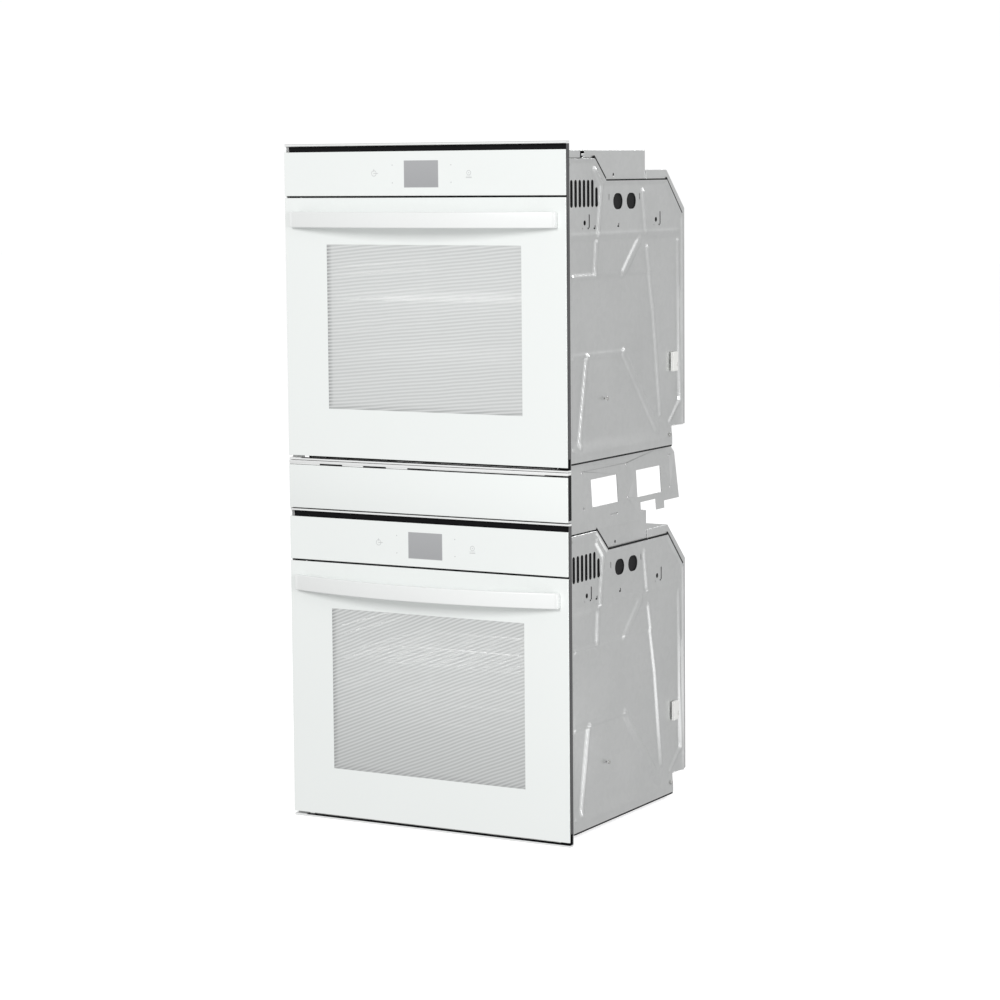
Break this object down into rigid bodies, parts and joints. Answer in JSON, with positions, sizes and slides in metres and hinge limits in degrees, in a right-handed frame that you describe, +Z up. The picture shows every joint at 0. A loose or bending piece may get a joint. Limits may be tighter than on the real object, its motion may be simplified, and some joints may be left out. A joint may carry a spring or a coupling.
{
  "type": "double wall oven",
  "caption": "Built-in double wall oven: stacked oven units with white glass doors hinged at the bottom, bowed handles and a bare steel chassis.",
  "frame": {"origin": "centre of the bounding box's underside: mid width, mid depth, on the plane that the lower unit's runners stand on", "axes": "+X to the right as seen from the front, +Y from the doors towards the back, +Z up"},
  "size_m": [0.595, 0.5899, 1.272],
  "materials": {
    "galvanised_steel": "galvanised sheet, satin",
    "bright_steel": "zinc plated",
    "heater_steel": "dull heat-tinted tube",
    "chrome_wire": "polished wire",
    "enamel_grey": "speckled vitreous enamel",
    "dark_trim": "dark grey satin paint",
    "white_glass": "white back-painted gloss glass",
    "clear_glass": "clear heat-reflecting glass",
    "white_lacquer": "white powder coat, satin",
    "white_plastic": "moulded, satin",
    "black_plastic": "moulded, matt",
    "mineral_wool": "fibrous blanket",
    "gasket_rubber": "braided seal"
  },
  "bodies": {
    "chassis": {"lower_side_panel_right": "galvanised_steel", "lower_side_panel_left": "galvanised_steel", "lower_rear_cover": "galvanised_steel", "lower_top_cover": "galvanised_steel", "lower_base_plate": "galvanised_steel", "lower_front_frame": "enamel_grey", "lower_front_trim": "dark_trim", "lower_cavity": "enamel_grey", "lower_fan_cover": "enamel_grey", "lower_ring_element": "heater_steel", "lower_grill_element": "heater_steel", "lower_rack_supports": "chrome_wire", "lower_control_glass": "white_glass", "lower_control_module": "black_plastic", "lower_blower_housing": "galvanised_steel", "lower_hinge_receivers": "bright_steel", "upper_side_panel_right": "galvanised_steel", "upper_side_panel_left": "galvanised_steel", "upper_rear_cover": "galvanised_steel", "upper_top_cover": "galvanised_steel", "upper_base_plate": "galvanised_steel", "upper_front_frame": "enamel_grey", "upper_front_trim": "dark_trim", "upper_cavity": "enamel_grey", "upper_fan_cover": "enamel_grey", "upper_ring_element": "heater_steel", "upper_grill_element": "heater_steel", "upper_rack_supports": "chrome_wire", "upper_control_glass": "white_glass", "upper_control_module": "black_plastic", "upper_blower_housing": "galvanised_steel", "upper_hinge_receivers": "bright_steel", "insulation": "mineral_wool", "fan_motors": "bright_steel", "lamp_sockets": "white_plastic", "lamp_lenses": "clear_glass", "door_gaskets": "gasket_rubber", "side_clips": "white_plastic", "screws": "bright_steel", "terminal_boxes": "black_plastic", "mid_panel": "white_glass", "link_brackets": "galvanised_steel"},
    "lower_convection_fan": {"lower_convection_fan": "bright_steel"},
    "lower_rack_low": {"lower_rack_low": "chrome_wire"},
    "lower_rack_high": {"lower_rack_high": "chrome_wire"},
    "lower_blower_wheel": {"lower_blower_wheel": "black_plastic"},
    "lower_door": {"lower_door_glass": "white_glass", "lower_door_frame": "dark_trim", "lower_door_panes": "clear_glass", "lower_door_handle": "white_lacquer", "lower_door_hinges": "bright_steel"},
    "upper_convection_fan": {"upper_convection_fan": "bright_steel"},
    "upper_rack_low": {"upper_rack_low": "chrome_wire"},
    "upper_rack_high": {"upper_rack_high": "chrome_wire"},
    "upper_blower_wheel": {"upper_blower_wheel": "black_plastic"},
    "upper_door": {"upper_door_glass": "white_glass", "upper_door_frame": "dark_trim", "upper_door_panes": "clear_glass", "upper_door_handle": "white_lacquer", "upper_door_hinges": "bright_steel"}
  },
  "joints": [
    {"name": "lower_door_hinge", "type": "hinge", "parent": "chassis", "child": "lower_door", "pos_m": [0, -0.2385, 0.0135], "axis": [1, 0, 0], "range_deg": [0, 90]},
    {"name": "lower_rack_low_slide", "type": "slide", "parent": "chassis", "child": "lower_rack_low", "axis": [0, -1, 0], "range_m": [0, 0.2358]},
    {"name": "lower_rack_high_slide", "type": "slide", "parent": "chassis", "child": "lower_rack_high", "axis": [0, -1, 0], "range_m": [0, 0.2358]},
    {"name": "lower_convection_fan_spin", "type": "hinge", "parent": "chassis", "child": "lower_convection_fan", "pos_m": [0, 0.191, 0.2555], "axis": [0, 1, 0], "continuous": true},
    {"name": "lower_blower_spin", "type": "hinge", "parent": "chassis", "child": "lower_blower_wheel", "pos_m": [0, 0.05, 0.5485], "axis": [0, 0, 1], "continuous": true},
    {"name": "upper_door_hinge", "type": "hinge", "parent": "chassis", "child": "upper_door", "pos_m": [0, -0.2385, 0.6955], "axis": [1, 0, 0], "range_deg": [0, 90]},
    {"name": "upper_rack_low_slide", "type": "slide", "parent": "chassis", "child": "upper_rack_low", "axis": [0, -1, 0], "range_m": [0, 0.2358]},
    {"name": "upper_rack_high_slide", "type": "slide", "parent": "chassis", "child": "upper_rack_high", "axis": [0, -1, 0], "range_m": [0, 0.2358]},
    {"name": "upper_convection_fan_spin", "type": "hinge", "parent": "chassis", "child": "upper_convection_fan", "pos_m": [0, 0.191, 0.9375], "axis": [0, 1, 0], "continuous": true},
    {"name": "upper_blower_spin", "type": "hinge", "parent": "chassis", "child": "upper_blower_wheel", "pos_m": [0, 0.05, 1.2305], "axis": [0, 0, 1], "continuous": true}
  ],
  "couplings": [
    {"joint": "lower_rack_low_slide", "follows": "lower_door_hinge", "m_per_rad": 0.15},
    {"joint": "lower_rack_high_slide", "follows": "lower_door_hinge", "m_per_rad": 0.15},
    {"joint": "upper_rack_low_slide", "follows": "upper_door_hinge", "m_per_rad": 0.15},
    {"joint": "upper_rack_high_slide", "follows": "upper_door_hinge", "m_per_rad": 0.15}
  ]
}
